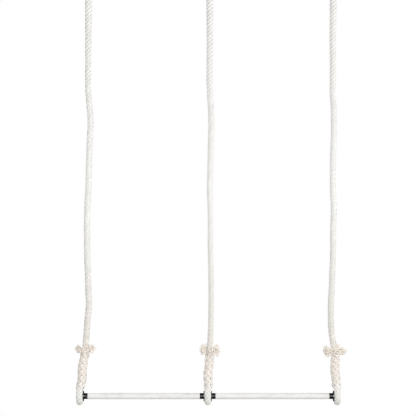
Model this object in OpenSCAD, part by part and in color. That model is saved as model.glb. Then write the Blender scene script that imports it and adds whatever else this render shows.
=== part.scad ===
// Three-rope double trapeze: one taped bar in two bays, hung on three cotton ropes.
// Each rope is spliced into an eye round the bar, and into an eye round a thimble at its top.
// Millimetres, +Z up, +X along the bar. The origin is the centre of the middle thimble's bore.

/* [Hang] */
// Height from the bar's axis up to the thimbles' axis
hang_h = 2000; // [1600:10:3000]
// Distance from the bar's middle to an outer eye
bay_w = 550; // [450:5:700]
// Where the middle eye sits along the bar, from the bar's middle
middle_x = -3; // [-40:1:40]
// Distance between neighbouring thimbles
thimble_gap = 520; // [420:5:700]

/* [Rope] */
// Diameter of the rope where it hangs free
rope_d = 27; // [18:0.5:30]
// Diameter of the rope where it bends round the bar or a thimble
bend_d = 28.5; // [18:0.5:32]
// Height from the bar's axis to the throat of the eye round it
bar_throat = 30; // [28:1:80]
// Depth from a thimble's axis to the throat of the eye round it
thimble_throat = 75; // [64:1:110]
// Least gap between the two legs of an eye at its throat
leg_gap = 0.6; // [0.4:0.1:4]
// How much thinner than the bend the stretched legs of an eye are
leg_slim = 0.4; // [0.2:0.1:3]

/* [Splice] */
// Length of a splice, from the throat of its eye to the last tuck
splice_l = 148; // [90:2:200]
// Thickness of a splice between its tucked strands
splice_d = 38; // [34:0.5:48]
// How far each tucked strand stands out of the splice
tuck_h = 2.4; // [0.4:0.1:4]
// Rows of tucks along a splice
tuck_rows = 6; // [3:1:8]
// Height of the step from the last tuck down to the rope
last_tuck_h = 2; // [1:0.25:5]

/* [Frayed ends] */
// Length of rope that the frayed strand ends cover
fray_l = 50; // [30:1:80]
// Reach of the longest frayed strand end from the rope's axis
fray_reach = 52; // [36:1:70]

/* [Bar] */
// Outside diameter of the steel tube
tube_d = 22; // [20:0.5:30]
// Wall of the steel tube
tube_wall = 3; // [1.5:0.25:6]
// Thickness of the wound tape on the grips
tape_t = 2.4; // [0.5:0.1:3]
// Thickness of a black band
band_t = 1.8; // [0.5:0.1:3]
// Width of a black band
band_w = 16; // [8:1:30]
// Diameter of a stop disc
disc_d = 45; // [34:0.5:48]
// Thickness of a stop disc
disc_t = 3.5; // [2:0.25:8]
// Play between an outer eye and its stop disc
eye_play = 0.6; // [0.4:0.2:6]
// Diameter of an end cap's lip
cap_d = 33; // [28:0.5:38]
// Thickness of an end cap's lip
cap_t = 3.5; // [2:0.25:8]
// Length of an end cap's plug inside the tube
plug_l = 22; // [10:1:40]
// Bevel on the edges of the discs, caps and bands
edge_bevel = 0.5; // [0.1:0.05:0.9]

/* [Thimble] */
// Diameter of the bore
bore_d = 32; // [24:0.5:40]
// Wall between the bore and the bottom of the rope groove
groove_wall = 4; // [2:0.5:8]
// Depth of the rope groove
groove_depth = 10; // [6:0.5:12]
// Thickness of a rim at its top
rim_t = 2.2; // [1:0.1:5]
// Bevel at the mouths of the bore
mouth_bevel = 1; // [0.2:0.1:2]

/* [Fits] */
// Clearance between a rope and the metal that it turns on
turn_clear = 0.3; // [0.2:0.05:1]
// Clearance of what is fixed on or in the tube
seat_clear = 0.05; // [0.02:0.01:0.15]

/* [Hidden] */
$fn = 96;
SIDES = ["left", "middle", "right"];
ROPE_PIECES = [
    "thimble", "top_eye", "top_splice", "top_frayed_ends", "rope", "bar_frayed_ends", "bar_splice", "bar_eye"
];
BAR_PIECES = [
    "bar_tube", "left_grip_tape", "right_grip_tape",
    "left_band", "middle_left_band", "middle_right_band", "right_band",
    "left_disc", "middle_left_disc", "middle_right_disc", "right_disc",
    "left_end_cap", "right_end_cap"
];

cotton = [0.93, 0.92, 0.89];
raw_cotton = [0.87, 0.81, 0.69];
white_tape = [0.95, 0.95, 0.94];
gloss_black = [0.05, 0.05, 0.055];
white_cap = [0.9, 0.9, 0.88];
zinc = [0.66, 0.68, 0.7];

rope_r = rope_d / 2;
bend_r = bend_d / 2;
leg_r = bend_r - leg_slim / 2;
tube_r = tube_d / 2;
tape_r = tube_r + tape_t;
band_r = tube_r + band_t;
seat_r = tube_r + seat_clear;
groove_r = bore_d / 2 + groove_wall;
rim_r = groove_r + groove_depth;
bar_eye_r = tube_r + turn_clear + bend_r;
top_eye_r = groove_r + turn_clear + bend_r;
last_tuck_r = rope_r + last_tuck_h;
low_end_z = bar_throat + splice_l - hang_h;
top_end_z = -thimble_throat - splice_l;
free_l = top_end_z - low_end_z;

// Half the width of a bent rope, of radius r bent to radius bend, at distance d from the centre of the bend.
function bent_half_w(r, bend, d) = sqrt(max(0, r * r - (bend - d) * (bend - d)));
groove_half_w = bent_half_w(bend_r + turn_clear, top_eye_r, rim_r);
thimble_w = 2 * (groove_half_w + rim_t);
disc_x = bent_half_w(bend_r, bar_eye_r, disc_d / 2) + turn_clear;
cap_x = bent_half_w(bend_r, bar_eye_r, cap_d / 2) + turn_clear;
outer_disc_x = disc_x + eye_play;
tube_half_l = bay_w + cap_x;

// Sideways lean of each rope over its lower and its upper splice, from the left rope to the right one.
low_lean = [22, 8.5, -9];
top_lean = [5, 5, 9];

// Sag and sway of each free rope: percent of the way up from the lower splice, then the sideways offset.
left_route = [
    [0, 0], [5, 6], [8, 9], [11, 13], [14, 16], [17, 13], [21, 11], [26, 7], [32, 5.5], [36, 5], [40, 6.5], [45, 10],
    [50, 11], [55, 13], [58, 14], [61, 16], [64, 15], [67, 10], [71, 5], [76, 4.5], [82, 4], [88, 4], [94, 3],
    [100, 0]
];
middle_route = [
    [0, 0], [5, 3], [9, 5], [14, 6], [19, 6], [24, 5], [29, 2.5], [33, 3], [37, 3], [41, 1], [45, 0], [49, 2],
    [53, 4], [57, 5.5], [60, 7], [63, 7], [66, 5], [70, 1], [74, -1], [79, 0], [84, 1], [89, 1], [94, 1], [100, 0]
];
right_route = [
    [0, 0], [5, -13], [8, -17], [11, -17], [14, -16], [18, -12], [21, -10], [25, -6.5], [29, -5], [33, -5],
    [37, -1.5], [40, -1], [43, -3.5], [46, -4], [50, -3], [54, -2], [57, 1], [60, 2], [63, 2.5], [66, 2], [70, -2],
    [77, 0], [84, 0], [94, 3.5], [100, 0]
];
routes = [left_route, middle_route, right_route];

// Frayed strand ends of each rope: direction round the rope, how much shorter than the longest, then the height of
// its middle and half its spread, both as shares of the length that the ends cover.
fray_dirs = [
    [[180, 7, 0.5, 0.3], [0, 7, 0.55, 0.33], [265, 14, 0.45, 0.3], [85, 16, 0.5, 0.33]],
    [[175, 6, 0.45, 0.45], [10, 9, 0.4, 0.5], [280, 13, 0.35, 0.3], [95, 15, 0.45, 0.4]],
    [[190, 3, 0.3, 0.5], [350, 0, 0.36, 0.45], [255, 15, 0.25, 0.35], [80, 16, 0.45, 0.4]]
];
// Angle over which a frayed end fans out round the rope, and its bluntness.
fray_fan = 30;
fray_blunt = 3;
// Ridges that the loose yarns make round the frayed ends, and how deep they are.
fray_ridges = 12;
ridge_depth = 0.1;

// Length by which the legs of an eye run into its bend.
leg_root = 2;

rope_sides = 12;
splice_sides = 24;
splice_steps = 20;
fray_sides = 36;
fray_steps = 8;
strands = 4;

function bar_x(side) = side == 1 ? middle_x : (side - 1) * bay_w;
function thimble_x(side) = (side - 1) * thimble_gap;
function low_end_x(side) = bar_x(side) + low_lean[side];
function top_end_x(side) = thimble_x(side) + top_lean[side];
function rope_z(up) = low_end_z + free_l * up / 100;
function straight_x(side, up) = low_end_x(side) + (top_end_x(side) - low_end_x(side)) * up / 100;
function rope_x(side, z) =
    lookup(z, [for (p = routes[side]) [rope_z(p[0]), straight_x(side, p[0]) + p[1]]]);

// A level ring of points about [x, 0, z], from a list of radii.
function ring(x, z, radii) = [
    for (i = [0:len(radii) - 1])
        let (turn = 360 * i / len(radii))
            [x + radii[i] * cos(turn), radii[i] * sin(turn), z]
];
function round_ring(x, z, r, sides) = ring(x, z, [for (i = [1:sides]) r]);

// Triangles between ring k and the next one, both of n points.
function band_faces(k, n) = [
    for (i = [0:n - 1])
        let (a = k * n + i, b = k * n + (i + 1) % n, c = b + n, d = a + n)
            each [[a, d, c], [a, c, b]]
];
function cap_faces(first, n, up) = [
    for (i = [1:n - 2]) up ? [first, first + i + 1, first + i] : [first, first + i, first + i + 1]
];

// A closed solid through a list of level rings, the lowest first.
module loft(rings) {
    n = len(rings[0]);
    m = len(rings);
    walls = [for (k = [0:m - 2]) each band_faces(k, n)];
    polyhedron(
        points = [for (r = rings) each r],
        faces = concat(walls, cap_faces(0, n, false), cap_faces((m - 1) * n, n, true)),
        convexity = 4
    );
}

// A closed solid with a hole through it: the outer rings from the lowest up, and the hole's two end rings.
module hollow_loft(outer, inner_low, inner_top) {
    rings = concat([inner_low], outer, [inner_top]);
    n = len(inner_low);
    m = len(rings);
    around = [for (k = [0:m - 2]) each band_faces(k, n)];
    inside = [
        for (i = [0:n - 1])
            let (a = i, b = (i + 1) % n, c = (m - 1) * n + b, d = (m - 1) * n + i)
                each [[a, c, d], [a, b, c]]
    ];
    polyhedron(points = [for (r = rings) each r], faces = concat(around, inside), convexity = 6);
}

// Lean from the vertical of the legs of an eye of radius r, whose throat is at height h.
function leg_lean(r, h) = asin((r - leg_r) / norm([leg_gap / 2, h])) - atan(leg_gap / 2 / h);
function leg_len(r, h) = (h - r * sin(leg_lean(r, h))) / cos(leg_lean(r, h));
function throat_half(r, h) = leg_gap / 2 + 2 * leg_r / cos(leg_lean(r, h));

// An eye in the YZ plane about the origin, with its throat at height h, cut level there.
module eye(r, h) {
    lean = leg_lean(r, h);
    past = bend_d * tan(lean) + 1;
    difference() {
        union() {
            rotate([90, 0, 90]) rotate([0, 0, 180 - lean]) rotate_extrude(angle = 180 + 2 * lean)
                translate([r, 0]) circle(d = bend_d);
            for (s = [-1, 1])
                rotate([s * lean, 0, 0]) translate([0, s * r, -leg_root])
                    cylinder(r = leg_r, h = leg_root + leg_len(r, h) + past);
        }
        translate([-bend_d, -2 * r, h]) cube([2 * bend_d, 4 * r, 2 * r]);
    }
}

// Half width and half depth of a splice at share t of its length, t = 0 at the throat.
splice_end = [[0.8, splice_d / 2 - 0.5], [1, last_tuck_r]];
function splice_half_w(t) =
    lookup(t, concat([[0, bend_r + 1], [0.06, splice_d / 2 - 0.5], [0.3, splice_d / 2]], splice_end));
function splice_half_d(t, throat) =
    lookup(t, concat([[0, throat], [0.12, throat - 1], [0.5, splice_d / 2]], splice_end));
// The tucked strands come out in rows, each row half a strand round from the one below.
function tuck_out(t, angle) =
    tuck_h * min(1, 6 * t, 6 * (1 - t)) * cos(strands * angle + 60 * t) * cos(180 * tuck_rows * t);
function splice_r(t, angle, throat) =
    1 / norm([cos(angle) / splice_half_w(t), sin(angle) / splice_half_d(t, throat)]) + tuck_out(t, angle);
function splice_ring(t, x, z, throat) =
    ring(x, z, [for (i = [0:splice_sides - 1]) splice_r(t, 360 * i / splice_sides, throat)]);

// A splice from its throat at [x, 0, z], up or down as way is 1 or -1, leaning sideways by lean.
module splice(x, z, way, lean, throat) {
    rings = [
        for (k = [0:splice_steps])
            let (t = (way > 0 ? k : splice_steps - k) / splice_steps)
                splice_ring(t, x + lean * t, z + way * splice_l * t, throat)
    ];
    loft(rings);
}

// Radius of the frayed ends at share t of their length, t = 0 at the splice.
function apart(a, b) = ((a - b + 540) % 360) - 180;
function fray_lobe(end, t, angle) =
    (fray_reach - end[1] - last_tuck_r) * exp(-pow(abs(apart(angle, end[0])) / fray_fan, fray_blunt))
    * exp(-pow(abs(t - end[2]) / end[3], fray_blunt));
function fray_r(ends, t, angle) =
    let (out = max([for (end = ends) fray_lobe(end, t, angle)]))
        last_tuck_r + out * (1 - ridge_depth + ridge_depth * cos(fray_ridges * angle + 90 * t));

// The frayed ends round a free rope, next to the splice at height z, upwards or downwards as way is 1 or -1.
module frayed_ends(side, z, way) {
    hole = round_ring(0, 0, rope_r + turn_clear, fray_sides);
    low_z = way > 0 ? z : z - fray_l;
    turns = [for (i = [0:fray_sides - 1]) 360 * i / fray_sides];
    outer = [
        for (k = [0:fray_steps])
            let (h = low_z + fray_l * k / fray_steps, t = abs(h - z) / fray_l)
                ring(rope_x(side, h), h, [for (turn = turns) fray_r(fray_dirs[side], t, turn)])
    ];
    hollow_loft(
        outer,
        [for (p = hole) p + [rope_x(side, low_z), 0, low_z]],
        [for (p = hole) p + [rope_x(side, low_z + fray_l), 0, low_z + fray_l]]
    );
}

module thimble(side) {
    color(zinc) translate([thimble_x(side), 0, 0]) rotate([0, 90, 0]) difference() {
        cylinder(r = rim_r, h = thimble_w, center = true);
        cylinder(d = bore_d, h = thimble_w + 2, center = true);
        rotate_extrude() translate([top_eye_r, 0]) circle(r = bend_r + turn_clear);
        for (s = [-1, 1])
            translate([0, 0, s * thimble_w / 2]) rotate([s < 0 ? 0 : 180, 0, 0]) translate([0, 0, -1])
                cylinder(r1 = bore_d / 2 + mouth_bevel + 1, r2 = bore_d / 2 - 1, h = mouth_bevel + 2);
    }
}

module top_eye(side) {
    color(cotton) translate([thimble_x(side), 0, 0]) mirror([0, 0, 1]) eye(top_eye_r, thimble_throat);
}

module top_splice(side) {
    color(cotton)
        splice(thimble_x(side), -thimble_throat, -1, top_lean[side], throat_half(top_eye_r, thimble_throat));
}

module top_frayed_ends(side) {
    color(raw_cotton) frayed_ends(side, top_end_z, -1);
}

module rope(side) {
    color(cotton)
        loft([for (p = routes[side]) round_ring(rope_x(side, rope_z(p[0])), rope_z(p[0]), rope_r, rope_sides)]);
}

module bar_frayed_ends(side) {
    color(raw_cotton) frayed_ends(side, low_end_z, 1);
}

module bar_splice(side) {
    color(cotton)
        splice(bar_x(side), bar_throat - hang_h, 1, low_lean[side], throat_half(bar_eye_r, bar_throat));
}

module bar_eye(side) {
    color(cotton) translate([bar_x(side), 0, -hang_h]) eye(bar_eye_r, bar_throat);
}

// A bevelled sleeve round the bar's axis, from x to x + l.
module sleeve(x, l, r_in, r_out, bevel) {
    translate([x, 0, -hang_h]) rotate([90, 0, 90]) rotate_extrude() polygon([
        [r_in, 0], [r_out - bevel, 0], [r_out, bevel], [r_out, l - bevel], [r_out - bevel, l], [r_in, l]
    ]);
}

module bar_tube() {
    color("dimgray") sleeve(-tube_half_l, 2 * tube_half_l, tube_r - tube_wall, tube_r, edge_bevel);
}

// The stop discs, the black bands and the grips follow each other from an eye into its bay.
module disc(eye_x, from, way) {
    x = eye_x + (way > 0 ? from : -from - disc_t);
    color(gloss_black) sleeve(x, disc_t, seat_r, disc_d / 2, edge_bevel);
}

module band(eye_x, from, way) {
    start = from + disc_t;
    x = eye_x + (way > 0 ? start : -start - band_w);
    color(gloss_black) sleeve(x, band_w, seat_r, band_r, edge_bevel / 2);
}

module grip_tape(x_low, x_high) {
    color(white_tape) sleeve(x_low, x_high - x_low, seat_r, tape_r, edge_bevel / 2);
}

outer_grip_x = bay_w - outer_disc_x - disc_t - band_w;
inner_grip_x = disc_x + disc_t + band_w;

module end_cap(way) {
    plug_r = tube_r - tube_wall - seat_clear;
    profile = [
        [0, -plug_l], [plug_r - 1, -plug_l], [plug_r, 1 - plug_l], [plug_r, 0], [cap_d / 2, 0],
        [cap_d / 2, cap_t - edge_bevel], [cap_d / 2 - edge_bevel, cap_t], [0, cap_t]
    ];
    color(white_cap) translate([way * tube_half_l, 0, -hang_h]) rotate([0, way * 90, 0])
        rotate_extrude() polygon(profile);
}

for (i = [0:2]) {
    thimble(i);
    top_eye(i);
    top_splice(i);
    top_frayed_ends(i);
    rope(i);
    bar_frayed_ends(i);
    bar_splice(i);
    bar_eye(i);
}
bar_tube();
grip_tape(-outer_grip_x, middle_x - inner_grip_x);  // left_grip_tape
grip_tape(middle_x + inner_grip_x, outer_grip_x);  // right_grip_tape
band(-bay_w, outer_disc_x, 1);  // left_band
band(middle_x, disc_x, -1);  // middle_left_band
band(middle_x, disc_x, 1);  // middle_right_band
band(bay_w, outer_disc_x, -1);  // right_band
disc(-bay_w, outer_disc_x, 1);  // left_disc
disc(middle_x, disc_x, -1);  // middle_left_disc
disc(middle_x, disc_x, 1);  // middle_right_disc
disc(bay_w, outer_disc_x, -1);  // right_disc
end_cap(-1);  // left_end_cap
end_cap(1);  // right_end_cap
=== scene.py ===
import math
import random

import bpy
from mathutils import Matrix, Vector


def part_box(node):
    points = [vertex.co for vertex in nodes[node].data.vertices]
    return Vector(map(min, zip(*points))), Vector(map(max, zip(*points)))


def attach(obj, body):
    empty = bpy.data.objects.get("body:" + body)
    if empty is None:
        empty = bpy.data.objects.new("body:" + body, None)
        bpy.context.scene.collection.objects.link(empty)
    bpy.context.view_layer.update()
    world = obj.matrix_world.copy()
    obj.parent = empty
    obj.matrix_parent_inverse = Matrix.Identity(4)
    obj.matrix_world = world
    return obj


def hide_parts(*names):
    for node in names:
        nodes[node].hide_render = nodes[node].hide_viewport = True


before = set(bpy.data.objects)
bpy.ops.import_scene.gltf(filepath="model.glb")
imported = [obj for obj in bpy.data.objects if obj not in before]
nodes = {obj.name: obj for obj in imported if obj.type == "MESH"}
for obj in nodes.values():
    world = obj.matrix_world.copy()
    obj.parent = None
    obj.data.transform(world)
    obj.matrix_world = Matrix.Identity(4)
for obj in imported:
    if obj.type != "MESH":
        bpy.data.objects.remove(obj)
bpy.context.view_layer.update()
sideNames = ["left", "middle", "right"]
fullTurn = 2 * math.pi
yarnCount = 9  # yarns that show round each strand
barWay, depthWay = Vector((1, 0, 0)), Vector((0, 1, 0))
print("frame loaded:", len(nodes), "nodes")

# Camera: level, straight on, with a long lens
cameraView = {
    "middleX": -0.0019, "middleZ": -1.1967, "distance": 8.0, "width": 1.777, "sensor": 36.0, "far": 120,
}


def addCamera(view):
    bpy.ops.object.select_all(action="DESELECT")
    place = (view["middleX"], -view["distance"], view["middleZ"])
    bpy.ops.object.camera_add(location=place, rotation=(math.pi / 2, 0, 0))
    camera = bpy.context.object
    camera.name = "photoCamera"
    camera.data.sensor_width = view["sensor"]
    camera.data.lens = view["sensor"] * view["distance"] / view["width"]
    camera.data.clip_end = view["far"]
    bpy.context.scene.camera = camera


addCamera(cameraView)
print("camera set")


# Small helpers for shader trees
def newTree(name):
    material = bpy.data.materials.new(name)
    material.use_nodes = True
    tree = material.node_tree
    return material, tree, tree.nodes["Principled BSDF"]


def setInputs(tree, node, inputs):
    # an output is linked, and anything else is the socket's own value
    for key, value in inputs.items():
        if hasattr(value, "is_output"):
            tree.links.new(value, node.inputs[key])
        else:
            node.inputs[key].default_value = value


def addNode(tree, kind, inputs=None, **settings):
    node = tree.nodes.new("ShaderNode" + kind)
    for key, value in settings.items():
        setattr(node, key, value)
    setInputs(tree, node, inputs or {})
    return node


def rampNode(tree, factor, low, high, start=0.0, end=1.0):
    ramp = addNode(tree, "ValToRGB", {"Fac": factor})
    for stop, place, colour in zip(ramp.color_ramp.elements, (start, end), (low, high)):
        stop.position = place
        stop.color = (*colour, 1)
    return ramp.outputs["Color"]


def mathNode(tree, operation, a, b=0.0):
    return addNode(tree, "Math", {0: a, 1: b}, operation=operation).outputs[0]


def mixNode(tree, factor, a, b, blend="MIX"):
    # sockets 6 and 7 take the two colours, and output 2 gives the mixed one
    first, second = (value if hasattr(value, "is_output") else (*value, 1) for value in (a, b))
    mix = addNode(tree, "Mix", {0: factor, 6: first, 7: second}, data_type="RGBA", blend_type=blend)
    return mix.outputs[2]


def rangeNode(tree, value, low, high, start=0.0, end=1.0):
    inputs = {"Value": value, "From Min": low, "From Max": high, "To Min": start, "To Max": end}
    return addNode(tree, "MapRange", inputs).outputs["Result"]


def noiseNode(tree, vector, scale, detail, rough=0.55):
    inputs = {"Vector": vector, "Scale": scale, "Detail": detail, "Roughness": rough}
    return addNode(tree, "TexNoise", inputs).outputs["Fac"]


def stretch(tree, vector, scale):
    return addNode(tree, "Mapping", {"Vector": vector, "Scale": scale}).outputs["Vector"]


def setBump(tree, shader, height, strength, depth):
    bump = addNode(tree, "Bump", {"Height": height, "Strength": strength, "Distance": depth})
    tree.links.new(bump.outputs["Normal"], shader.inputs["Normal"])


# Cotton: fibres run along the yarns, and the tone drifts along the rope. The gaps between strands get painted
# shade: deep is the colour of that shade, and light is the colour of the crests
# In every look a bump is given as its strength and depth
cottonYarn = {
    "fibres": (70, 160, 1), "fibreDetail": 5.0, "fibreTone": 0.7, "driftDetail": 3.0, "driftShare": 0.9,
    "bump": (0.45, 0.0007), "rough": 0.92, "specular": 0.2, "sheen": 0.25, "sheenRough": 0.6,
}
ropeCottonLook = {
    **cottonYarn, "name": "ropeCotton",
    "light": (0.92, 0.91, 0.89), "deep": (0.23, 0.225, 0.21), "drift": (0.97, 0.96, 0.94), "driftScale": 9,
    "lowerCrest": (0.89, 0.885, 0.865), "lowerGrooveShade": (0.85, 0.84, 0.81), "lowerTo": -1.0,
    "upperFrom": -0.4, "lowTint": (0.925, 0.905, 0.88), "lowTintTo": -1.7, "lowTintFrom": -1.2,
    "groove": (0.47, 0.84), "toneShare": 0.05, "furrow": 0.6, "furrowShade": 0.1,
}
eyeCottonLook = {
    **cottonYarn, "name": "eyeCotton",
    "light": (0.915, 0.91, 0.88), "deep": (0.70, 0.685, 0.65), "drift": (0.96, 0.955, 0.93), "driftScale": 20,
    "groove": (0.55, 0.95), "toneShare": 0.12, "furrow": 0.6, "furrowShade": 0.1,
}
spliceCottonLook = {
    **cottonYarn, "name": "spliceCotton",
    "light": (0.885, 0.842, 0.80), "deep": (0.80, 0.745, 0.68), "drift": (0.975, 0.94, 0.90),
    "driftScale": 28, "lowerCrest": (0.90, 0.885, 0.86), "lowerGrooveShade": (0.76, 0.74, 0.70),
    "lowerTo": -1.945, "upperFrom": -1.905,
    "groove": (0.6, 0.86), "toneShare": 0.3, "furrow": 0.4, "furrowShade": 0.08,
}
frayedCottonLook = {
    **cottonYarn, "name": "frayedCotton", "fibres": (12, 300, 1), "bump": (0.3, 0.0003), "sheen": 0.7,
    "light": (0.95, 0.90, 0.835), "deep": (0.88, 0.81, 0.73), "drift": (0.97, 0.945, 0.91), "driftScale": 45,
    "groove": (0.3, 0.8), "toneShare": 0.5, "furrow": 0.0, "furrowShade": 0.0,
}


def cottonMaterial(look):
    material, tree, shader = newTree(look["name"])
    marks = addNode(tree, "UVMap", uv_map="strand").outputs["UV"]
    place = addNode(tree, "TexCoord").outputs["Object"]
    crest = addNode(tree, "Attribute", attribute_name="crest").outputs["Fac"]
    tone = addNode(tree, "Attribute", attribute_name="tone").outputs["Fac"]
    fibre = noiseNode(tree, stretch(tree, marks, look["fibres"]), 1.0, look["fibreDetail"])
    around = addNode(tree, "SeparateXYZ", {"Vector": marks}).outputs["X"]
    furrow = mathNode(tree, "COSINE", mathNode(tree, "MULTIPLY", around, yarnCount * fullTurn))
    grain = mathNode(tree, "SUBTRACT", fibre, mathNode(tree, "MULTIPLY", furrow, look["furrow"]))
    fluff = mathNode(tree, "MULTIPLY", mathNode(tree, "SUBTRACT", fibre, 0.5), look["fibreTone"])
    raised = mathNode(tree, "ADD", crest, fluff)
    # painted shade in the furrows between the yarns
    raised = mathNode(tree, "SUBTRACT", raised, mathNode(tree, "MULTIPLY", furrow, look["furrowShade"]))
    light, deep = look["light"], look["deep"]
    if "lowerTo" in look:  # lower down, the crests and the painted shade in the grooves take the lower colours; on the rope the groove shade fades there
        height = addNode(tree, "SeparateXYZ", {"Vector": place}).outputs["Z"]
        upperShare = rangeNode(tree, height, look["lowerTo"], look["upperFrom"])
        light = mixNode(tree, upperShare, look["lowerCrest"], light)
        deep = mixNode(tree, upperShare, look["lowerGrooveShade"], deep)
    # painted shade: where the crest is low, in the gaps between strands, the colour goes to deep
    colour = mixNode(tree, rangeNode(tree, raised, *look["groove"]), deep, light)
    drift = noiseNode(tree, place, look["driftScale"], look["driftDetail"])
    drift = mathNode(tree, "MULTIPLY", drift, look["driftShare"])
    colour = mixNode(tree, drift, colour, look["drift"], "MULTIPLY")
    colour = mixNode(tree, mathNode(tree, "MULTIPLY", tone, look["toneShare"]), colour, look["deep"])
    if "lowTint" in look:  # the rope is also a little darker at its lowest stretch
        lowTinted = rangeNode(tree, height, look["lowTintFrom"], look["lowTintTo"])
        colour = mixNode(tree, lowTinted, colour, look["lowTint"], "MULTIPLY")
    setInputs(tree, shader, {
        "Base Color": colour, "Roughness": look["rough"], "Specular IOR Level": look["specular"],
        "Sheen Weight": look["sheen"], "Sheen Roughness": look["sheenRough"],
    })
    setBump(tree, shader, grain, *look["bump"])
    return material


ropeCotton = cottonMaterial(ropeCottonLook)
eyeCotton = cottonMaterial(eyeCottonLook)
spliceCotton = cottonMaterial(spliceCottonLook)
frayedCotton = cottonMaterial(frayedCottonLook)
print("cotton materials made")

# Rope: four strands laid to the right, nine yarns showing round each strand
ropeSize = {
    "hang": 2.0, "bay": 0.55, "middle": -0.003, "thimbleGap": 0.52, "radius": 0.0135, "bendRadius": 0.01425,
    "legRadius": 0.01405, "legGap": 0.0006, "lay": 0.068, "strands": 4, "ridge": 0.0003, "crestRise": 200,
    "ring": 0.002, "yarnTwist": 0.04, "centreShare": 0.57, "sideShare": 0.435, "barEye": 0.02555,
    "topEye": 0.03455, "barThroat": 0.03, "topThroat": 0.075, "intoSplice": 0.012, "arcSteps": 40, "seed": 31,
}


def newBag():
    return {"points": [], "faces": [], "marks": [], "crest": [], "tone": []}


def joinRings(bag, first, count, k, before, now):
    base = first + (k - 1) * count
    for j in range(count):
        a, b = base + j, base + (j + 1) % count
        u, v = j / count, (j + 1) / count
        bag["faces"].append((a, b, b + count, a + count))
        bag["marks"] += [(u, before), (v, before), (v, now), (u, now)]


def capRing(bag, start, count, run, outward):
    order = range(count) if outward else reversed(range(count))
    bag["faces"].append(tuple(start + j for j in order))
    bag["marks"] += [(j / count, run) for j in range(count)]


def alongAt(line, k):
    return (line[min(k + 1, len(line) - 1)] - line[max(k - 1, 0)]).normalized()


def layStrand(bag, centres, outs, halves, tone, height):
    # a ridge for every yarn; the yarns turn against the lay, so they end up nearly in line with the rope
    count = 2 * yarnCount
    first = len(bag["points"])
    run = 0.0
    for k, centre in enumerate(centres):
        along = alongAt(centres, k)
        side = along.cross(outs[k]).normalized()
        out = side.cross(along)
        before = run
        if k:
            run += (centre - centres[k - 1]).length
        for j in range(count):
            turn = fullTurn * (j / count - run / ropeSize["yarnTwist"])
            ridge = height if j % 2 else -height
            reach = out * ((halves[k][0] + ridge) * math.cos(turn))
            bag["points"].append(centre + reach + side * ((halves[k][1] + ridge) * math.sin(turn)))
            # crest is highest on the strand's outer side and falls into the gaps; the cotton materials paint
            # shade from it
            bag["crest"].append(0.5 + 0.5 * math.cos(turn) + ropeSize["crestRise"] * ridge)
            bag["tone"].append(tone)
        if k:
            joinRings(bag, first, count, k, before, run)
    capRing(bag, first, count, 0.0, False)
    capRing(bag, first + (len(centres) - 1) * count, count, run, True)


def layRope(bag, line, flat, radii, start, dice):
    # flat is square to the plane that the rope runs in; start is the first strand's angle
    inner = [radius * ropeSize["centreShare"] for radius in radii]
    halves = [(r - c - ropeSize["ridge"], r * ropeSize["sideShare"]) for r, c in zip(radii, inner)]
    run, angles = 0.0, []
    for k, point in enumerate(line):
        if k:
            run += (point - line[k - 1]).length
        angles.append(start + fullTurn * run / ropeSize["lay"])
    for i in range(ropeSize["strands"]):
        centres, outs = [], []
        for k, point in enumerate(line):
            turn = angles[k] + fullTurn * i / ropeSize["strands"]
            out = flat.cross(alongAt(line, k)) * math.cos(turn) + flat * math.sin(turn)
            outs.append(out)
            centres.append(point + out * inner[k])
        layStrand(bag, centres, outs, halves, dice.random(), ropeSize["ridge"])
    return angles[-1]


def makePiece(bag, name, material):
    mesh = bpy.data.meshes.new(name)
    mesh.from_pydata(bag["points"], [], bag["faces"])
    mesh.uv_layers.new(name="strand").data.foreach_set("uv", [x for mark in bag["marks"] for x in mark])
    for word in ("crest", "tone"):
        mesh.attributes.new(word, "FLOAT", "POINT").data.foreach_set("value", bag[word])
    mesh.polygons.foreach_set("use_smooth", [True] * len(mesh.polygons))
    mesh.materials.append(material)
    piece = bpy.data.objects.new(name, mesh)
    bpy.context.scene.collection.objects.link(piece)
    return piece


def evenPoints(line, step):
    lengths = [0.0]
    for a, b in zip(line, line[1:]):
        lengths.append(lengths[-1] + (b - a).length)
    count = round(lengths[-1] / step)
    found, i = [], 0
    for k in range(count + 1):
        want = lengths[-1] * k / count
        while i < len(line) - 2 and lengths[i + 1] < want:
            i += 1
        found.append(line[i].lerp(line[i + 1], (want - lengths[i]) / (lengths[i + 1] - lengths[i])))
    return found


def smoothLine(points, step, parts=12):
    # a curve through all the points, in even steps
    ends = [points[0] * 2 - points[1], *points, points[-1] * 2 - points[-2]]
    fine = []
    for a, b, c, d in zip(ends, ends[1:], ends[2:], ends[3:]):
        square, cube = a * 2 - b * 5 + c * 4 - d, b * 3 - a - c * 3 + d
        for t in (k / parts for k in range(parts)):
            fine.append((b * 2 + (c - a) * t + square * t**2 + cube * t**3) / 2)
    return evenPoints([*fine, points[-1]], step)


def between(t, stops):
    # straight lines between (place, value) stops
    for (t0, v0), (t1, v1) in zip(stops, stops[1:]):
        if t <= t1:
            return v0 + (v1 - v0) * max(0.0, (t - t0) / (t1 - t0))
    return stops[-1][1]


def ease(t):
    t = min(1.0, max(0.0, t))
    return t * t * (3 - 2 * t)


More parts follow.
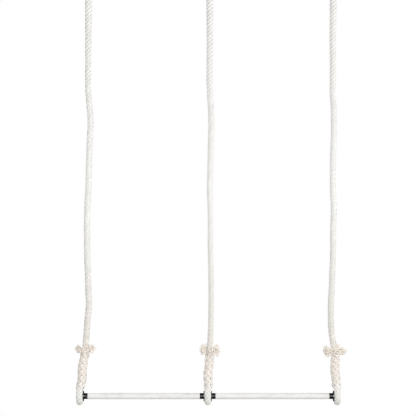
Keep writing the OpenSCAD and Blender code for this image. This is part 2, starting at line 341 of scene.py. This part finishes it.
# Free ropes: percent of the way up from the lower splice, and the sideways offset in millimetres
ropeRoutes = {
    "left": [
        (0, 0), (5, 6), (8, 9), (11, 13), (14, 16), (17, 13), (21, 11), (26, 7), (32, 5.5), (36, 5),
        (40, 6.5), (45, 10), (50, 11), (55, 13), (58, 14), (61, 16), (64, 15), (67, 10), (71, 5), (76, 4.5),
        (82, 4), (88, 4), (94, 3), (100, 0),
    ],
    "middle": [
        (0, 0), (5, 3), (9, 5), (14, 6), (19, 6), (24, 5), (29, 2.5), (33, 3), (37, 3), (41, 1), (45, 0),
        (49, 2), (53, 4), (57, 5.5), (60, 7), (63, 7), (66, 5), (70, 1), (74, -1), (79, 0), (84, 1), (89, 1),
        (94, 1), (100, 0),
    ],
    "right": [
        (0, 0), (5, -13), (8, -17), (11, -17), (14, -16), (18, -12), (21, -10), (25, -6.5), (29, -5),
        (33, -5), (37, -1.5), (40, -1), (43, -3.5), (46, -4), (50, -3), (54, -2), (57, 1), (60, 2), (63, 2.5),
        (66, 2), (70, -2), (77, 0), (84, 0), (94, 3.5), (100, 0),
    ],
}
# worn rope isn't equally thick all along: height, and share of the full thickness
ropeGirths = {
    "left": [(-1.8, 1), (-1.7, 1.05), (-1.2, 1.05), (-1.05, 1), (-0.56, 1), (-0.33, 1.14)],
    "middle": [(-1.8, 1), (-1.7, 0.9), (-1.25, 0.85), (-0.95, 1), (-0.56, 1), (-0.33, 1.14)],
    "right": [(-0.56, 1), (-0.33, 1.14)],
}
# how far each splice leans sideways over its length
lowLean = {"left": 0.022, "middle": 0.0085, "right": -0.009}
topLean = {"left": 0.005, "middle": 0.005, "right": 0.009}

# Splice: four standing strands and four tucked ones, over one and under one.
# Wide and deep are its half width and half depth, each at a share of its length
spliceSize = {
    "length": 0.148, "lay": 0.104, "halfOut": 0.0038, "halfSide": 0.0076, "weave": 0.0034, "core": 0.0128,
    "ridge": 0.0003, "steps": 96, "heartRings": 25, "early": 0.08, "late": 0.07, "tuckedOut": 0.0165,
    "stand": 0.0024, "gather": 0.35, "meet": 0.13, "legPull": 2, "swingFrom": 0.6, "settleFrom": 0.82,
    "bowStep": 0.02,
    "wide": [(0, 0.016), (0.06, 0.0178), (0.3, 0.0185), (0.8, 0.0182), (1, 0.0168)],
    "deep": [(0, 0.0305), (0.12, 0.0295), (0.5, 0.019), (0.8, 0.0185), (1, 0.017)],
}
# a hand-made splice isn't quite straight: share of its length, and the sideways offset in millimetres
spliceBows = {
    "left": [(0, 0), (0.2, 3.2), (0.33, 3.2), (0.6, -1.8), (0.75, -2.4), (0.9, -0.5), (1, 0)],
    "middle": [(0, 0), (0.15, 1.4), (0.38, -3), (0.48, -2.4), (0.65, 0), (1, 0)],
    "right": [(0, 0), (0.1, -2.6), (0.25, -2), (0.5, -4.6), (0.65, -3.6), (0.85, -1.4), (1, 0)],
    "top": [(0, 0), (0.5, 1.5), (1, 0)],
}


def spliceStrand(bag, foot, aside, way, hand, angle, weaveTurn, finish, tone):
    # hand is 1 for a standing strand and -1 for a tucked one; finish is a tucked strand's last angle
    size = spliceSize
    across = barWay * way
    legY = ropeSize["legGap"] / 2 + ropeSize["legRadius"]
    radius = ropeSize["radius"]
    ropeCentre = radius * ropeSize["centreShare"]
    ropeHalf = (radius - ropeCentre - ropeSize["ridge"], radius * ropeSize["sideShare"])
    start, end = -size["early"], 1.0 if hand > 0 else 1 + size["late"]
    centres, outs, halves = [], [], []
    for k in range(size["steps"] + 1):
        t = start + (end - start) * k / size["steps"]
        run = t * size["length"]
        turn = angle + hand * fullTurn * run / size["lay"]
        last = ease((t - size["settleFrom"]) / (1 - size["settleFrom"]))
        if finish is not None:
            final = angle - fullTurn * size["length"] / size["lay"]
            swing = (finish - final + math.pi) % fullTurn - math.pi
            turn += swing * ease((t - size["swingFrom"]) / (1 - size["swingFrom"]))
        crossing = ropeSize["strands"] * fullTurn * run / size["lay"] + weaveTurn
        weave = hand * size["weave"] * math.cos(crossing) * (1 - last)
        inset = size["stand"] - size["halfOut"] - size["weave"] + weave
        wide, deep = between(t, size["wide"]) + inset, between(t, size["deep"]) + inset
        goal = ropeCentre if hand > 0 else size["tuckedOut"]
        wide, deep = wide + (goal - wide) * last, deep + (goal - deep) * last
        x, y = wide * math.cos(turn), deep * math.sin(turn)
        meet = size["gather"] + (1 - size["gather"]) * ease((t + size["early"]) / size["meet"])
        leg = legY * max(-1.0, min(1.0, size["legPull"] * math.sin(turn)))
        x, y = x * meet, leg + (y - leg) * meet
        centre = foot + barWay * between(t, aside) + Vector((0, 0, way * run))
        centres.append(centre + across * x + depthWay * y)
        outs.append((across * (math.cos(turn) / wide) + depthWay * (math.sin(turn) / deep)).normalized())
        out, side = size["halfOut"], size["halfSide"]
        if hand > 0:
            out, side = out + (ropeHalf[0] - out) * last, side + (ropeHalf[1] - side) * last
        halves.append((out, side))
    layStrand(bag, centres, outs, halves, tone, size["ridge"])


def makeSplice(name, foot, lean, bow, way, standing, finishes, dice):
    # standing is the first standing strand's angle at the throat, and finishes the tucked ones' last angles
    bag = newBag()
    size, strands, rings = spliceSize, ropeSize["strands"], spliceSize["heartRings"]
    curve = smoothLine([Vector((t, 0, offset / 1000)) for t, offset in bow], size["bowStep"])
    aside = [(point.x, point.z + lean * point.x) for point in curve]
    tucked = finishes[0] + fullTurn * size["length"] / size["lay"]
    weaveTurn = strands / 2 * (standing - tucked)
    for i in range(strands):
        turn = fullTurn * i / strands
        spliceStrand(bag, foot, aside, way, 1, standing + turn, weaveTurn, None, dice.random())
        spliceStrand(bag, foot, aside, way, -1, tucked + turn, weaveTurn, finishes[i], dice.random())
    # the heart closes the view between the strands; its tone of 1.0 takes it furthest to the deep colour,
    # painted shade inside the splice
    line = []
    for t in (k / (rings - 1) for k in range(rings)):
        line.append(foot + barWay * between(t, aside) + Vector((0, 0, way * size["length"] * t)))
    layStrand(bag, line, [depthWay] * rings, [(size["core"], size["core"])] * rings, 1.0, ropeSize["ridge"])
    return makePiece(bag, name, spliceCotton)


def eyeLine(centre, radius, throat, way):
    # down one leg, round, and up the other, in the plane across the bar
    gap, leg = ropeSize["legGap"] / 2, ropeSize["legRadius"]
    lean = math.asin((radius - leg) / math.hypot(gap, throat)) - math.atan(gap / throat)
    top = throat + ropeSize["intoSplice"]
    footY, footZ = radius * math.cos(lean), radius * math.sin(lean)
    topY = footY - (top - footZ) * math.tan(lean)
    flat = [(-topY, top)]
    arcs = ropeSize["arcSteps"]
    for k in range(arcs + 1):
        turn = math.pi - lean + (math.pi + 2 * lean) * k / arcs
        flat.append((radius * math.cos(turn), radius * math.sin(turn)))
    flat.append((topY, top))
    return evenPoints([centre + Vector((0, y, way * z)) for y, z in flat], ropeSize["ring"])


# Frayed strand ends: the cut strand is a stump that parts into clumps of yarn, and these into loose fibres
tuftSize = {
    "rows": 5, "columns": 3, "fibres": 13, "fan": 0.6, "thick": 0.0011, "tip": 0.0007, "yarn": 0.003,
    "sides": 5, "rings": 8, "inset": 0.001, "root": 0.0035, "rootFan": 0.7, "rootSpread": 0.45,
    "rootCrest": 0.15, "rise": 0.72, "loose": 0.0042, "curl": 0.0022, "curlOut": 0.5, "curlTurn": 6,
    "stray": 0.8, "stump": 0.005, "stumpTaper": 0.8, "stumpSteps": 6, "stumpFrom": 0.006, "stumpFlare": 0.003,
    "crownUp": 0.4, "crownAside": 0.35, "leastCrown": 0.05, "fill": (0.85, 1.0), "yarnReach": 0.8,
    "fibreReach": (0.7, 1.08), "bendOut": 0.45, "bendUp": 0.75, "leanSpan": 20,
}
# for each strand its direction round the rope in degrees, then reach, middle height and half spread in mm
tuftEnds = {
    "left": [(180, 46, 24, 14), (268, 37, 28, 20), (355, 46, 25, 15), (80, 36, 26, 16)],
    "middle": [(178, 47, 22, 22), (285, 39, 20, 18), (8, 47, 19, 25), (95, 37, 22, 20)],
    "right": [(186, 53, 15, 24), (268, 38, 13, 19), (350, 53, 13, 13), (54, 42, 29, 15)],
}


def layYarn(bag, line, thick, tip, tone):
    count, low = tuftSize["sides"], tuftSize["rootCrest"]
    first = len(bag["points"])
    slant = Vector((0.3, 0.5, 0.8))  # sets how the rings are turned
    run = 0.0
    for k, point in enumerate(line):
        along = alongAt(line, k)
        side = along.cross(slant).normalized()
        up = side.cross(along)
        share = k / (len(line) - 1)
        radius = thick + (tip - thick) * share
        before = run
        if k:
            run += (point - line[k - 1]).length
        for j in range(count):
            turn = fullTurn * j / count
            bag["points"].append(point + up * (radius * math.cos(turn)) + side * (radius * math.sin(turn)))
            # crest rises from rootCrest at the root to 1 at the tip, so the roots of the yarns get painted
            # shade
            bag["crest"].append(low + (1 - low) * share)
            bag["tone"].append(tone)
        if k:
            joinRings(bag, first, count, k, before, run)
    capRing(bag, first, count, 0.0, False)
    capRing(bag, first + (len(line) - 1) * count, count, run, True)


def makeTuft(name, foot, slope, way, ends, dice):
    # foot is where the rope leaves the splice, and slope its sideways run for each metre of height
    bag = newBag()
    size = tuftSize
    rootR = spliceSize["tuckedOut"] - size["inset"]
    for direction, reach, middle, spread in ends:
        # the strand itself comes out of the splice and lies along the rope before its yarns part
        straight = math.radians(direction)
        outward = Vector((math.cos(straight), math.sin(straight), 0))
        stump = []
        for t in (k / size["stumpSteps"] for k in range(size["stumpSteps"] + 1)):
            h = -size["stumpFrom"] + t * (size["stumpFrom"] + middle / 1000)
            out = outward * (rootR + size["stumpFlare"] * t * t)
            stump.append(foot + Vector((slope * h * way, 0, way * h)) + out)
        layYarn(bag, stump, size["stump"], size["stump"] * size["stumpTaper"], dice.random())
        for clump in range(size["rows"] * size["columns"]):
            row, column = divmod(clump, size["columns"])
            up = 2 * (row + dice.random()) / size["rows"] - 1
            swing = 2 * (column + dice.random()) / size["columns"] - 1
            crown = 1 - size["crownUp"] * up * up - size["crownAside"] * swing * swing
            fill = math.sqrt(max(size["leastCrown"], crown)) * dice.uniform(*size["fill"])
            turn = straight + swing * size["fan"]
            tipR, tipH = rootR + (reach / 1000 - rootR) * fill, (middle + up * spread) / 1000
            rootTurn = straight + size["rootFan"] * swing * size["root"] / rootR
            rootH = (middle * size["rise"] + up * spread * size["rootSpread"]) / 1000
            phase, tone = dice.uniform(0, fullTurn), dice.random()
            for fibre in range(size["fibres"]):
                whole = fibre == 0  # the first of each clump is the yarn's own stump
                far = size["yarnReach"] if whole else dice.uniform(*size["fibreReach"])
                far = rootR + (tipR - rootR) * far
                high = tipH + dice.uniform(-1, 1) * size["loose"]
                wide = turn + dice.uniform(-1, 1) * size["loose"] / far
                bendR = rootR + (far - rootR) * size["bendOut"]
                bendH = rootH + (high - rootH) * size["bendUp"]
                stray, line = dice.uniform(-size["stray"], size["stray"]), []
                for k in range(size["rings"]):
                    t = k / (size["rings"] - 1)
                    a, b, c = (1 - t) ** 2, 2 * t * (1 - t), t * t
                    wave = size["curl"] * t * math.sin(phase + stray + size["curlTurn"] * t)
                    r = a * rootR + b * bendR + c * far + wave * size["curlOut"]
                    h = a * rootH + b * bendH + c * high + wave
                    angle = rootTurn + (wide - rootTurn) * t + wave / r
                    centre = foot + Vector((slope * h * way, 0, way * h))
                    line.append(centre + Vector((r * math.cos(angle), r * math.sin(angle), 0)))
                shade = 0.5 * tone + 0.5 * dice.random()
                layYarn(bag, line, size["yarn" if whole else "thick"], size["tip"], shade)
    return makePiece(bag, name, frayedCotton)


def finishPiece(piece, body, slot, *replaced):
    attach(piece, body)
    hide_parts(*replaced)


def makeEye(name, node, centre, radius, throat, way, dice):
    bag = newBag()
    bend = eyeLine(centre, radius, throat, way)
    layRope(bag, bend, barWay, [ropeSize["bendRadius"]] * len(bend), dice.uniform(0, fullTurn), dice)
    finishPiece(makePiece(bag, name, eyeCotton), "ropes", "cotton_rope", node)


def makeHanger(side, dice):
    # one rope from its eye on the bar up to its eye on the thimble
    size, splice = ropeSize, spliceSize
    index = sideNames.index(side) - 1
    barX, topX = index * size["bay"] or size["middle"], index * size["thimbleGap"]
    barThroat = Vector((barX, 0, size["barThroat"] - size["hang"]))
    topThroat = Vector((topX, 0, -size["topThroat"]))
    low = barThroat + Vector((lowLean[side], 0, splice["length"]))
    top = topThroat + Vector((topLean[side], 0, -splice["length"]))
    points = [low.lerp(top, up / 100) + barWay * (aside / 1000) for up, aside in ropeRoutes[side]]
    line = smoothLine(points, size["ring"])
    standing = dice.uniform(0, fullTurn)
    layTurn = fullTurn * splice["length"] / splice["lay"]
    ends = [math.radians(end[0]) for end in tuftEnds[side]]

    makeEye(side + "BarEye", side + "_bar_eye", Vector((barX, 0, -size["hang"])), size["barEye"],
            size["barThroat"], 1, dice)
    lowSplice = makeSplice(side + "BarSplice", barThroat, lowLean[side], spliceBows[side], 1,
                           standing, ends, dice)
    finishPiece(lowSplice, "ropes", "cotton_rope", side + "_bar_splice")

    bag = newBag()
    radii = [size["radius"] * between(point.z, ropeGirths[side]) for point in line]
    endTurn = layRope(bag, line, depthWay, radii, standing + layTurn, dice)
    rope = makePiece(bag, side + "Rope", ropeCotton)
    finishPiece(rope, "ropes", "cotton_rope", side + "_rope")

    # seen from the thimble downwards, a turn is counted from the other side
    topEnds = [math.pi - a for a in ends]
    topSplice = makeSplice(side + "TopSplice", topThroat, topLean[side], spliceBows["top"], -1,
                           math.pi - endTurn - layTurn, topEnds[::-1], dice)
    finishPiece(topSplice, "ropes", "cotton_rope", side + "_top_splice")
    makeEye(side + "TopEye", side + "_top_eye", Vector((topX, 0, 0)), size["topEye"],
            size["topThroat"], -1, dice)

    # a tuft leans with the stretch of rope beside it
    span = tuftSize["leanSpan"]
    lowRun, topRun = line[span] - line[0], line[-1 - span] - line[-1]
    tuft = makeTuft(side + "BarFrayedEnds", low, lowRun.x / lowRun.z, 1, tuftEnds[side], dice)
    finishPiece(tuft, "ropes", "frayed_cotton", side + "_bar_frayed_ends")
    tuft = makeTuft(side + "TopFrayedEnds", top, topRun.x / topRun.z, -1, tuftEnds[side], dice)
    finishPiece(tuft, "ropes", "frayed_cotton", side + "_top_frayed_ends")


for number, side in enumerate(sideNames):
    makeHanger(side, random.Random(ropeSize["seed"] + number))

# Grip tape: a woven cotton tape wound along the bar, each turn half over the one before.
# In this look and the next ones, a noise is given as its scale, detail and roughness
tapeSize = {"width": 0.03, "pitch": 0.015, "thick": 0.00117, "inner": 0.01106, "steps": 48, "smooth": 30}
tapeLook = {
    "light": (0.87, 0.87, 0.86), "worn": (0.74, 0.72, 0.69), "weave": 900, "rubStretch": (14, 60, 1),
    "rubNoise": (1.0, 6.0, 0.65), "rubRange": (0.25, 0.55), "speckNoise": (420, 3.0, 0.55),
    "speckShare": 0.35, "rough": 0.8, "sheen": 0.15, "bump": (0.25, 0.0002),
}


def tapeMaterial(look):
    material, tree, shader = newTree("gripTape")
    place = addNode(tree, "TexCoord").outputs["Object"]
    parts = addNode(tree, "SeparateXYZ", {"Vector": place}).outputs
    height = mathNode(tree, "ADD", parts["Z"], ropeSize["hang"])
    around = mathNode(tree, "MULTIPLY", mathNode(tree, "ARCTAN2", parts["Y"], height), tapeSize["inner"])
    flat = addNode(tree, "CombineXYZ", {"X": parts["X"], "Y": around}).outputs["Vector"]
    threads = {"Vector": flat, "Scale": look["weave"]}
    warp = addNode(tree, "TexWave", threads, bands_direction="X").outputs["Fac"]
    weft = addNode(tree, "TexWave", threads, bands_direction="Y").outputs["Fac"]
    weave = mathNode(tree, "MULTIPLY", warp, weft)
    rub = noiseNode(tree, stretch(tree, flat, look["rubStretch"]), *look["rubNoise"])
    speck = noiseNode(tree, flat, *look["speckNoise"])
    colour = rampNode(tree, rub, look["worn"], look["light"], *look["rubRange"])
    specks = mathNode(tree, "MULTIPLY", speck, look["speckShare"])
    colour = mixNode(tree, specks, colour, look["worn"], "MULTIPLY")
    setInputs(tree, shader, {"Base Color": colour, "Roughness": look["rough"], "Sheen Weight": look["sheen"]})
    setBump(tree, shader, mathNode(tree, "ADD", weave, speck), *look["bump"])
    return material


def windTape(name, node, size, material):
    low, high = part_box(node)
    bpy.ops.object.select_all(action="DESELECT")
    bpy.ops.mesh.primitive_plane_add(size=1)
    tape = bpy.context.object
    tape.name = name
    start = low.x - size["width"]
    profile = [(0, 0), (size["width"], size["thick"]), (0, size["thick"]), (size["width"], 2 * size["thick"])]
    for corner, (x, rise) in zip(tape.data.vertices, profile):
        corner.co = (start + x, 0, size["inner"] + rise)
    bpy.ops.object.mode_set(mode="EDIT")
    bpy.ops.mesh.select_all(action="SELECT")
    bpy.ops.mesh.delete(type="ONLY_FACE")
    bpy.ops.object.mode_set(mode="OBJECT")
    bpy.ops.object.modifier_add(type="SCREW")
    screw = tape.modifiers[-1]
    screw.axis = "X"
    screw.screw_offset = size["pitch"]
    screw.iterations = math.ceil((high.x - start) / size["pitch"])
    screw.steps = screw.render_steps = size["steps"]
    bpy.ops.object.modifier_apply(modifier=screw.name)
    bpy.ops.object.mode_set(mode="EDIT")
    bpy.ops.mesh.select_all(action="SELECT")
    bpy.ops.transform.translate(value=(0, 0, -ropeSize["hang"]))
    for x, before in ((low.x, True), (high.x, False)):  # trimmed square against the black bands
        bpy.ops.mesh.select_all(action="SELECT")
        bpy.ops.mesh.bisect(plane_co=(x, 0, 0), plane_no=(1, 0, 0), use_fill=True, clear_inner=before,
                            clear_outer=not before)
    bpy.ops.mesh.select_all(action="SELECT")
    bpy.ops.mesh.normals_make_consistent(inside=False)
    bpy.ops.object.mode_set(mode="OBJECT")
    bpy.ops.object.shade_smooth_by_angle(angle=math.radians(size["smooth"]))
    tape.data.materials.append(material)
    finishPiece(tape, "bar", "white_tape", node)


gripTape = tapeMaterial(tapeLook)
for bay in ("left", "right"):
    windTape(bay + "GripTape", bay + "_grip_tape", tapeSize, gripTape)
print("grip tape wound")

# Finishes of the solids that stay: black bands and discs, the tube, its caps, and the thimbles
bandLook = {
    "colour": (0.001, 0.001, 0.0011), "dust": (0.003, 0.003, 0.0028), "dustRange": (0.55, 0.9),
    "smearStretch": (1, 4, 4), "smearNoise": (55, 6.0, 0.6), "turns": 260, "wander": 0.6, "specular": 0.18,
    "rough": (0.05, 0.12), "roughRange": (0.3, 0.75), "bump": (0.08, 0.0002),
}
discLook = {
    "colour": (0.006, 0.006, 0.0065), "bare": (0.24, 0.23, 0.22), "rim": (0.0211, 0.0227), "chipFrom": 0.62,
    "chipNoise": (260, 5.0, 0.7), "rough": (0.2, 0.4), "roughRange": (0.3, 0.7), "bump": (0.08, 0.0002),
}
tubeLook = {
    "colour": (0.03, 0.03, 0.032), "scuff": (0.16, 0.155, 0.15), "scuffRange": (0.58, 0.8),
    "scuffStretch": (0.3, 1, 1), "scuffNoise": (60, 7.0, 0.65),
    "rough": (0.32, 0.6), "roughRange": (0.3, 0.7), "bump": (0.1, 0.0002),
}
capLook = {
    "colour": (0.80, 0.80, 0.78), "grime": (0.55, 0.53, 0.49), "grimeRange": (0.55, 0.95),
    "grimeNoise": (45, 6.0, 0.6), "grainNoise": (900, 2.0, 0.55),
    "rough": (0.42, 0.65), "roughRange": (0.3, 0.7), "bump": (0.15, 0.0002),
}
zincLook = {
    "light": (0.66, 0.68, 0.70), "dark": (0.42, 0.44, 0.46), "toneRange": (0.25, 0.75), "spangle": 190,
    "spangleShare": 0.45, "hazeNoise": (70, 5.0, 0.6), "hazeShare": 0.6,
    "rough": (0.28, 0.52), "roughRange": (0.3, 0.7), "bump": (0.12, 0.0003),
}


def barRadius(tree, place):
    parts = addNode(tree, "SeparateXYZ", {"Vector": place}).outputs
    height = mathNode(tree, "ADD", parts["Z"], ropeSize["hang"])
    square = mathNode(tree, "ADD", mathNode(tree, "POWER", parts["Y"], 2), mathNode(tree, "POWER", height, 2))
    return mathNode(tree, "SQRT", square)


def roughRamp(tree, factor, look):
    low, high = look["rough"]
    return rampNode(tree, factor, (low,) * 3, (high,) * 3, *look["roughRange"])


def bandMaterial(look):
    material, tree, shader = newTree("blackTape")
    place = addNode(tree, "TexCoord").outputs["Object"]
    smear = noiseNode(tree, stretch(tree, place, look["smearStretch"]), *look["smearNoise"])
    turns = {"Vector": place, "Scale": look["turns"] / fullTurn, "Distortion": look["wander"]}
    edges = addNode(tree, "TexWave", turns, bands_direction="X", wave_profile="SAW").outputs["Fac"]
    setInputs(tree, shader, {
        "Base Color": rampNode(tree, smear, look["colour"], look["dust"], *look["dustRange"]),
        "Roughness": roughRamp(tree, smear, look), "Specular IOR Level": look["specular"],
    })
    setBump(tree, shader, mathNode(tree, "ADD", edges, smear), *look["bump"])
    return material


def discMaterial(look):
    # paint chipped down to the steel at the rim
    material, tree, shader = newTree("blackPaint")
    place = addNode(tree, "TexCoord").outputs["Object"]
    chips = noiseNode(tree, place, *look["chipNoise"])
    rim = rangeNode(tree, barRadius(tree, place), *look["rim"])
    worn = mathNode(tree, "MULTIPLY", rim, mathNode(tree, "GREATER_THAN", chips, look["chipFrom"]))
    setInputs(tree, shader, {
        "Base Color": mixNode(tree, worn, look["colour"], look["bare"]), "Metallic": worn,
        "Roughness": roughRamp(tree, chips, look),
    })
    setBump(tree, shader, chips, *look["bump"])
    return material


def tubeMaterial(look):
    material, tree, shader = newTree("barPaint")
    place = addNode(tree, "TexCoord").outputs["Object"]
    scuff = noiseNode(tree, stretch(tree, place, look["scuffStretch"]), *look["scuffNoise"])
    setInputs(tree, shader, {
        "Base Color": rampNode(tree, scuff, look["colour"], look["scuff"], *look["scuffRange"]),
        "Roughness": roughRamp(tree, scuff, look),
    })
    setBump(tree, shader, scuff, *look["bump"])
    return material


def capMaterial(look):
    material, tree, shader = newTree("whiteCap")
    place = addNode(tree, "TexCoord").outputs["Object"]
    grime = noiseNode(tree, place, *look["grimeNoise"])
    grain = noiseNode(tree, place, *look["grainNoise"])
    setInputs(tree, shader, {
        "Base Color": rampNode(tree, grime, look["colour"], look["grime"], *look["grimeRange"]),
        "Roughness": roughRamp(tree, grime, look),
    })
    setBump(tree, shader, grain, *look["bump"])
    return material


def zincMaterial(look):
    material, tree, shader = newTree("zincSteel")
    place = addNode(tree, "TexCoord").outputs["Object"]
    spangle = addNode(tree, "TexVoronoi", {"Vector": place, "Scale": look["spangle"]}).outputs["Color"]
    grey = addNode(tree, "RGBToBW", {"Color": spangle}).outputs["Val"]
    grey = mathNode(tree, "MULTIPLY", grey, look["spangleShare"])
    haze = noiseNode(tree, place, *look["hazeNoise"])
    both = mathNode(tree, "ADD", grey, mathNode(tree, "MULTIPLY", haze, look["hazeShare"]))
    setInputs(tree, shader, {
        "Base Color": rampNode(tree, both, look["dark"], look["light"], *look["toneRange"]),
        "Roughness": roughRamp(tree, both, look), "Metallic": 1.0,
    })
    setBump(tree, shader, haze, *look["bump"])
    return material


def dress(names, material):
    for name in names:
        for slot in nodes[name].material_slots:
            slot.material = material


placeNames = ["left", "middle_left", "middle_right", "right"]
dress([p + "_band" for p in placeNames], bandMaterial(bandLook))
dress([p + "_disc" for p in placeNames], discMaterial(discLook))
dress(["bar_tube"], tubeMaterial(tubeLook))
dress(["left_end_cap", "right_end_cap"], capMaterial(capLook))
dress([s + "_thimble" for s in sideNames], zincMaterial(zincLook))
print("bar and thimbles dressed")

# Studio: a white surround, a pale floor well below the bar, wide lights in front, behind and on the left, and
# a key on the right. The glint is seen in gloss only, and the back and fill are never seen there
studio = {
    "surround": 30.0, "surroundSides": (48, 24), "ambient": (0.28, 0.62), "floorZ": -3.8, "floorRadius": 3.6,
    "floorSides": 96, "floorRough": 0.9, "floorColour": (0.82, 0.82, 0.81), "floorGlow": (0.35, 0.9),
    "floorFade": (1.0, 3.4),
    "front": {"place": (0.0, -8.0, -1.0), "size": (4.0, 1.2), "power": 388, "lights": True, "shines": True},
    "glint": {"place": (0.0, -7.9, -1.0), "size": (4.0, 0.8), "power": 500, "lights": False, "shines": True},
    "key": {"place": (4.0, -1.2, 0.4), "size": (1.6, 2.2), "power": 38, "lights": True, "shines": True},
    "back": {"place": (1.2, 8.0, 3.2), "size": (4.0, 2.4), "power": 340, "lights": True, "shines": False},
    "fill": {"place": (-6.4, 5.6, 0.0), "size": (2.4, 3.2), "power": 180, "lights": True, "shines": False},
}


def aimAt(thing, goal):
    thing.rotation_euler = (Vector(goal) - thing.location).to_track_quat("-Z", "Y").to_euler()


def addLight(name, look):
    bpy.ops.object.select_all(action="DESELECT")
    bpy.ops.object.light_add(type="AREA", location=look["place"])
    lamp = bpy.context.object
    lamp.name = name
    lamp.data.shape = "RECTANGLE"
    lamp.data.size, lamp.data.size_y = look["size"]
    lamp.data.energy = look["power"]
    lamp.visible_camera = False
    lamp.visible_diffuse = look["lights"]
    lamp.visible_glossy = look["shines"]
    aimAt(lamp, (0, 0, cameraView["middleZ"]))


def addAir(look):
    world = bpy.data.worlds.new("studioAir")
    world.use_nodes = True
    tree = world.node_tree
    way = addNode(tree, "TexCoord").outputs["Generated"]
    side = addNode(tree, "SeparateXYZ", {"Vector": way}).outputs["X"]
    strength = rangeNode(tree, side, -1.0, 1.0, *look["ambient"])  # from the left to the right
    setInputs(tree, tree.nodes["Background"], {"Color": (1, 1, 1, 1), "Strength": strength})
    bpy.context.scene.world = world


def addSurround(look):
    around, rings = look["surroundSides"]
    bpy.ops.object.select_all(action="DESELECT")
    bpy.ops.mesh.primitive_uv_sphere_add(segments=around, ring_count=rings, radius=look["surround"],
                                         location=(0, 0, cameraView["middleZ"]))
    surround = bpy.context.object
    surround.name = "whiteSurround"
    paper, tree, shader = newTree("whitePaper")
    setInputs(tree, shader, {
        "Base Color": (0, 0, 0, 1), "Emission Color": (1, 1, 1, 1), "Emission Strength": 1.0,
        "Specular IOR Level": 0.0,
    })
    surround.data.materials.append(paper)
    surround.visible_diffuse = surround.visible_glossy = surround.visible_shadow = False
    return surround


def addFloor(look):
    # it glows more towards its rim, where it melts into the surround
    bpy.ops.object.select_all(action="DESELECT")
    bpy.ops.mesh.primitive_circle_add(vertices=look["floorSides"], radius=look["floorRadius"],
                                      fill_type="NGON", location=(0, 0, look["floorZ"]))
    floor = bpy.context.object
    floor.name = "paleFloor"
    pale, tree, shader = newTree("paleFloor")
    middle = addNode(tree, "TexCoord").outputs["Object"]
    away = addNode(tree, "VectorMath", {0: middle}, operation="LENGTH").outputs["Value"]
    setInputs(tree, shader, {
        "Base Color": (*look["floorColour"], 1), "Roughness": look["floorRough"],
        "Emission Color": (1, 1, 1, 1),
        "Emission Strength": rangeNode(tree, away, *look["floorFade"], *look["floorGlow"]),
    })
    floor.data.materials.append(pale)
    floor.visible_diffuse = floor.visible_glossy = False
    return floor


addAir(studio)
addSurround(studio)
addFloor(studio)
for lamp in ("front", "key", "back", "fill", "glint"):
    addLight(lamp + "Light", studio[lamp])
bpy.context.scene.view_settings.view_transform = "Standard"
print("studio lit")
